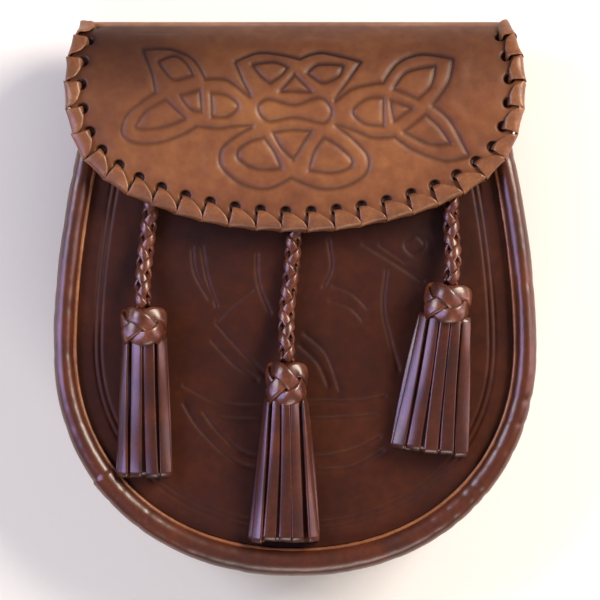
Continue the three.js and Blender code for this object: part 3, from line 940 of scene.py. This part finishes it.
# %% Tassel knots
FLOOR_Z = 33.7
TASSELS = {
    "left": {"top": (-51.2, -3.4), "end": (-51.3, -16.0), "width": 15.9,
             "skirt": (-51.3, -60.8), "top_width": 15.5, "end_width": 20.0, "strips": 4},
    "middle": {"top": (-2.7, -22.0), "end": (-3.2, -36.4), "width": 14.6,
               "skirt": (-3.7, -83.0), "top_width": 14.8, "end_width": 25.4, "strips": 5},
    "right": {"top": (52.4, 4.4), "end": (50.6, -8.3), "width": 16.2,
              "skirt": (45.6, -52.6), "top_width": 17.4, "end_width": 27.8, "strips": 5},
}


def barrel(tassel):
    """Centre, half length, radius and axes of a knot."""
    z = FLOOR_Z + tassel["width"] / 2
    top = Vector((*tassel["top"], z))
    end = Vector((*tassel["end"], z))
    axis = (end - top).normalized()
    sideways = axis.cross(UP).normalized()
    return (top + end) / 2, (end - top).length / 2, tassel["width"] / 2, axis, sideways


def woven_knot(side):
    centre, half, radius, axis, sideways = barrel(TASSELS[side])
    thong_width, thong_thickness = 5.4, 1.7
    reach = half - 2.3
    steps = 330
    centres = []
    normals = []
    for i in range(steps):
        turn = 6 * math.pi * i / steps
        height = reach * math.cos(4 * turn / 3)
        lift = 0.75 * math.sin(8 * turn / 3)
        bulge = radius - 1.5 - 2.2 * (height / half) ** 4 + lift
        outwards = sideways * math.cos(turn) + UP * math.sin(turn)
        centres.append(centre + axis * height + outwards * bulge)
        normals.append((outwards + axis * (0.7 * (height / half) ** 3)).normalized())
    places = []
    for i, point in enumerate(centres):
        way = (centres[(i + 1) % steps] - centres[i - 1]).normalized()
        across = way.cross(normals[i]).normalized()
        places.append(placement(point, across * thong_width / 2, across.cross(way) * thong_thickness / 2, way))
    bm = bmesh.new()
    sweep(bm, places, sides=12, squareness=0.7, closed=True)
    bmesh.ops.recalc_face_normals(bm, faces=bm.faces)
    return finish_piece(bm, f"woven_knot_{side}", CORD_LEATHER)


def knot_core(side):
    centre, half, radius, axis, sideways = barrel(TASSELS[side])
    places = []
    for i in range(15):
        height = (half - 0.4) * (2 * i / 14 - 1)
        size = (radius - 2.2) * math.sqrt(max(0.05, 1 - 0.6 * (height / half) ** 4))
        places.append(placement(centre + axis * height, sideways * size, UP * size, axis))
    bm = bmesh.new()
    sweep(bm, places, sides=24)
    bmesh.ops.recalc_face_normals(bm, faces=bm.faces)
    return finish_piece(bm, f"knot_core_{side}", STRIP_LEATHER)


# %% [markdown]
# ## Skirts of cut strips
# Strips of one leather, cut with a knife and a rule, hang from each knot. They start bunched under it and
# spread as they fall, an upper layer lying over a lower one, and were all trimmed to one length. Each strip is
# flat, a little curled, and tilts away at the sides of the bundle.

# %% Skirts
STRIP_THICKNESS = 1.4


def skirt(side):
    tassel = TASSELS[side]
    centre, half, radius, axis, sideways = barrel(tassel)
    start_xy = Vector((*tassel["end"], 0)) - Vector((*barrel(tassel)[3].xy, 0)) * 2.4
    end_xy = Vector((*tassel["skirt"], 0))
    fall = (end_xy - start_xy).normalized()
    right = fall.cross(UP)
    random.seed({"left": 3, "middle": 14, "right": 25}[side])
    layers = [
        (tassel["strips"], 0.0, 0.96, 6.6, 12.0),
        (tassel["strips"] - 1, 0.0, 0.86, 3.4, 7.4),
        (tassel["strips"], 0.0, 1.0, 1.3, 2.6),
    ]
    bm = bmesh.new()
    for count, shift, spread, end_height, top_height in layers:
        for n in range(count):
            place = 2 * (n + 0.5) / count - 1
            top_x = place * tassel["top_width"] / 2
            end_pitch = tassel["end_width"] * spread / count
            end_x = place * tassel["end_width"] * spread / 2 + random.uniform(-0.5, 0.5)
            bow = random.uniform(-0.5, 0.5)
            twist = random.uniform(-0.1, 0.1)
            turned = random.uniform(-0.42, 0.42)
            longer = random.uniform(-0.5, 0.4)
            lift = random.uniform(-0.35, 0.5)
            places = []
            centres = []
            for i in range(27):
                t = i / 26
                across = blend(top_x, end_x, t ** 0.85) + bow * math.sin(math.pi * t)
                round_top = top_height - 5.2 * place ** 2 * (top_height / 12)
                round_end = end_height - 2.6 * place ** 2 * (end_height / 6.6)
                height = blend(round_top, round_end, ease(t)) + lift * math.sin(math.pi * t) + 0.2 * math.sin(9 * t + n)
                base = blend(start_xy, end_xy, t) + fall * longer * t
                centres.append(base + right * across + UP * (FLOOR_Z + max(0.9, height)))
            for i, point in enumerate(centres):
                t = i / 26
                way = direction_at(centres, i)
                tilt = -place * blend(0.85, 0.4, t) + turned + twist * t
                lean = (UP * math.cos(tilt) - right * math.sin(tilt)).normalized()
                across = way.cross(lean).normalized()
                width = blend(tassel["top_width"] * 1.0 / count, end_pitch * 0.92, t)
                places.append(placement(point, across * width / 2, across.cross(way) * STRIP_THICKNESS / 2, way))
            strip = bmesh.new()
            sweep(strip, places, sides=12, squareness=0.45)
            join(bm, strip)
    bmesh.ops.recalc_face_normals(bm, faces=bm.faces)
    return finish_piece(bm, f"skirt_of_strips_{side}", STRIP_LEATHER)


for side, (cord, path, length) in CORDS.items():
    knot = woven_knot(side)
    core = knot_core(side)
    strips = skirt(side)
    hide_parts(f"tassel_knot_{side}")
    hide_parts(f"tassel_skirt_{side}")
    print(side, "tassel:", len(knot.data.polygons) + len(strips.data.polygons), "faces")

# %% [markdown]
# ## Belt loops, seam thread and press stud
# Two straps are sewn to the back at their ends and stand off between them, for the kilt belt. Waxed thread
# runs round the back, where it is sewn to the gusset, and in a box on each strap end. A press stud under the
# flap keeps it closed.

# %% Back details
THREAD = new_material("waxed_linen_thread")
thread_place = node(THREAD, "ShaderNodeTexCoord", {}).outputs["Object"]
thread_twist = node(
    THREAD, "ShaderNodeTexNoise", {"Vector": thread_place, "Scale": 1000 / 0.5, "Detail": 2.0, "Roughness": 0.5}
)
thread_shades = node(THREAD, "ShaderNodeValToRGB", {"Fac": thread_twist.outputs["Fac"]})
thread_shades.color_ramp.elements[0].color = linear("6a5238")
thread_shades.color_ramp.elements[1].color = linear("a58a63")
thread_surface = node(
    THREAD, "ShaderNodeBsdfPrincipled", {"Base Color": thread_shades.outputs["Color"], "Roughness": 0.6}
)
node(THREAD, "ShaderNodeOutputMaterial", {"Surface": thread_surface.outputs["BSDF"]})

BRASS = new_material("antiqued_brass")
brass_place = node(BRASS, "ShaderNodeTexCoord", {}).outputs["Object"]
brass_wear = node(
    BRASS, "ShaderNodeTexNoise", {"Vector": brass_place, "Scale": 1000 / 2.0, "Detail": 3.0, "Roughness": 0.5}
)
brass_shades = node(BRASS, "ShaderNodeValToRGB", {"Fac": brass_wear.outputs["Fac"]})
brass_shades.color_ramp.elements[0].color = linear("8a6a38")
brass_shades.color_ramp.elements[1].color = linear("b8955a")
brass_surface = node(
    BRASS, "ShaderNodeBsdfPrincipled",
    {"Base Color": brass_shades.outputs["Color"], "Metallic": 1.0, "Roughness": 0.32},
)
node(BRASS, "ShaderNodeOutputMaterial", {"Surface": brass_surface.outputs["BSDF"]})

LOOP_BENDS = [
    (58.0, 5.0), (50.6, 5.0), (49.2, 4.7), (44.8, 0.4), (43.2, 0.0), (-11.2, 0.0), (-12.8, 0.4), (-17.2, 4.7),
    (-18.6, 5.0), (-26.0, 5.0),
]


def loop_level(y):
    """Height of a belt loop's outer face at y."""
    for (y0, z0), (y1, z1) in zip(LOOP_BENDS, LOOP_BENDS[1:]):
        if y1 <= y <= y0:
            return blend(z0, z1, (y0 - y) / (y0 - y1))
    return 5.0


def thread_stitch(bm, start, end, out):
    """One short stitch of thread, sunk at both ends."""
    way = (end - start).normalized()
    across = way.cross(out).normalized()
    places = []
    for i in range(7):
        t = i / 6
        size = 0.42 * (0.35 + 0.65 * math.sin(math.pi * t) ** 0.5)
        point = blend(start, end, t) + out * (0.3 * math.sin(math.pi * t) - 0.12)
        places.append(placement(point, across * size, out * size, way))
    part = bmesh.new()
    sweep(part, places, sides=8)
    join(bm, part)


for side, x in (("left", -42.0), ("right", 42.0)):
    def loop_face(u, v, x=x):
        y = blend(58.0, -26.0, v)
        return Vector((x + 11 * (1 - 2 * u), y, loop_level(y)))

    bm, outer = laid_wall(loop_face, 2.0, 10, 84)
    rims = [e for e in bm.edges if len(e.link_faces) == 2 and e.calc_face_angle() > 1.2]
    bmesh.ops.bevel(bm, geom=rims, offset=0.35, segments=2, affect="EDGES", profile=0.5, material=-1)
    bmesh.ops.recalc_face_normals(bm, faces=bm.faces)
    strap = finish_piece(bm, f"belt_loop_strap_{side}", LOOP_LEATHER)
    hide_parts(f"belt_loop_{side}")

    bm = bmesh.new()
    for low, high in ((-24.4, -19.6), (51.6, 56.4)):
        for y in (low, high):
            for n in range(5):
                start = x - 9 + 3.6 * n + 0.4
                thread_stitch(bm, Vector((start, y, 5)), Vector((start + 2.8, y, 5)), -UP)
        for edge_x in (x - 9.2, x + 9.2):
            thread_stitch(bm, Vector((edge_x, low + 0.8, 5)), Vector((edge_x, high - 0.8, 5)), -UP)
    finish_piece(bm, f"strap_stitching_{side}", THREAD)

bm = bmesh.new()
seam = even_points(lambda t: outline(t, 4.6, 4.6, BACK_Z), 104)
for (a, _), (b, _) in list(zip(seam, seam[1:]))[6:-6]:
    thread_stitch(bm, blend(a, b, 0.1), blend(a, b, 0.82), -UP)
finish_piece(bm, "back_seam_stitching", THREAD)

bm = bmesh.new()
profile = [(0.05, 0.0), (5.2, 0.0), (5.7, 0.5), (5.7, 1.2), (4.2, 1.7), (3.4, 2.4), (3.4, 4.6), (4.2, 5.4),
           (5.8, 5.9), (5.8, 6.7), (5.2, 7.2), (0.05, 7.2)]
line = [bm.verts.new((r, 0, z)) for r, z in profile]
edges = [bm.edges.new(pair) for pair in zip(line, line[1:])]
bmesh.ops.spin(
    bm, geom=line + edges, cent=(0, 0, 0), axis=(0, 0, 1), angle=2 * math.pi, steps=32, use_merge=True
)
bmesh.ops.remove_doubles(bm, verts=bm.verts, dist=0.001)
bmesh.ops.holes_fill(bm, edges=[e for e in bm.edges if e.is_boundary], sides=40)
bmesh.ops.recalc_face_normals(bm, faces=bm.faces)
bmesh.ops.translate(bm, vec=(0, 50, 33.75), verts=bm.verts)
stud = finish_piece(bm, "press_stud", BRASS)
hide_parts("flap_stud")
print("back: 2 straps, seam thread and a press stud")

# %% [markdown]
# ## Floor and light
# A near-white board under the sporran, and soft light: a large warm box above and towards the top right, a
# dimmer cool one from the left, and low cool strips at both sides that put a lilac edge on rim and strips.

# %% Floor and light
BOARD = new_material("white_painted_board")
board_place = node(BOARD, "ShaderNodeTexCoord", {}).outputs["Object"]
board_grain = node(
    BOARD, "ShaderNodeTexNoise", {"Vector": board_place, "Scale": 1000 / 3.0, "Detail": 2.0, "Roughness": 0.5}
)
board_shades = node(BOARD, "ShaderNodeValToRGB", {"Fac": board_grain.outputs["Fac"]})
board_shades.color_ramp.elements[0].color = linear("fafafa")
board_shades.color_ramp.elements[1].color = linear("fdfdfd")
board_surface = node(
    BOARD, "ShaderNodeBsdfPrincipled", {"Base Color": board_shades.outputs["Color"], "Roughness": 0.9}
)
node(BOARD, "ShaderNodeOutputMaterial", {"Surface": board_surface.outputs["BSDF"]})

bm = bmesh.new()
bmesh.ops.create_grid(bm, x_segments=1, y_segments=1, size=1.5)
floor_mesh = bpy.data.meshes.new("floor")
bm.to_mesh(floor_mesh)
bm.free()
floor_mesh.materials.append(BOARD)
floor = bpy.data.objects.new("floor", floor_mesh)
bpy.context.collection.objects.link(floor)


def softbox(name, place, aim, size, power, colour):
    light = bpy.data.lights.new(name, "AREA")
    light.shape = "RECTANGLE"
    light.size, light.size_y = size
    light.energy = power
    light.color = linear(colour)[:3]
    lamp = bpy.data.objects.new(name, light)
    lamp.location = place
    lamp.rotation_euler = (Vector(aim) - Vector(place)).to_track_quat("-Z", "Y").to_euler()
    bpy.context.collection.objects.link(lamp)
    return lamp


softbox("warm_softbox", (0.72, 0.42, 0.62), (0.02, 0.02, 0.03), (0.5, 0.4), 13.5, "fff1e0")
softbox("left_softbox", (-0.7, 0.3, 0.6), (0.0, 0.0, 0.03), (0.3, 0.5), 4.5, "f7f2ff")
softbox("front_softbox", (0.1, -0.85, 0.6), (0.0, 0.0, 0.03), (0.8, 0.3), 5.0, "fff6ee")
shine_only = [
    softbox("lilac_sheen", (-0.6, -0.1, 0.5), (-0.03, -0.02, 0.03), (0.2, 0.6), 2.8, "c9bcff"),
    softbox("low_lilac_sheen_left", (-0.6, 0.0, 0.14), (-0.08, 0.0, 0.03), (0.12, 0.8), 1.6, "c4b4ff"),
    softbox("low_rose_sheen_right", (0.6, -0.05, 0.16), (0.08, 0.0, 0.03), (0.12, 0.8), 1.8, "ffc8cf"),
]
for lamp in shine_only:
    lamp.visible_diffuse = False

world = bpy.data.worlds.new("studio")
world.use_nodes = True
world.node_tree.nodes["Background"].inputs["Color"].default_value = linear("fbf8ff")
world.node_tree.nodes["Background"].inputs["Strength"].default_value = 0.14
bpy.context.scene.world = world
bpy.context.scene.view_settings.view_transform = "Standard"
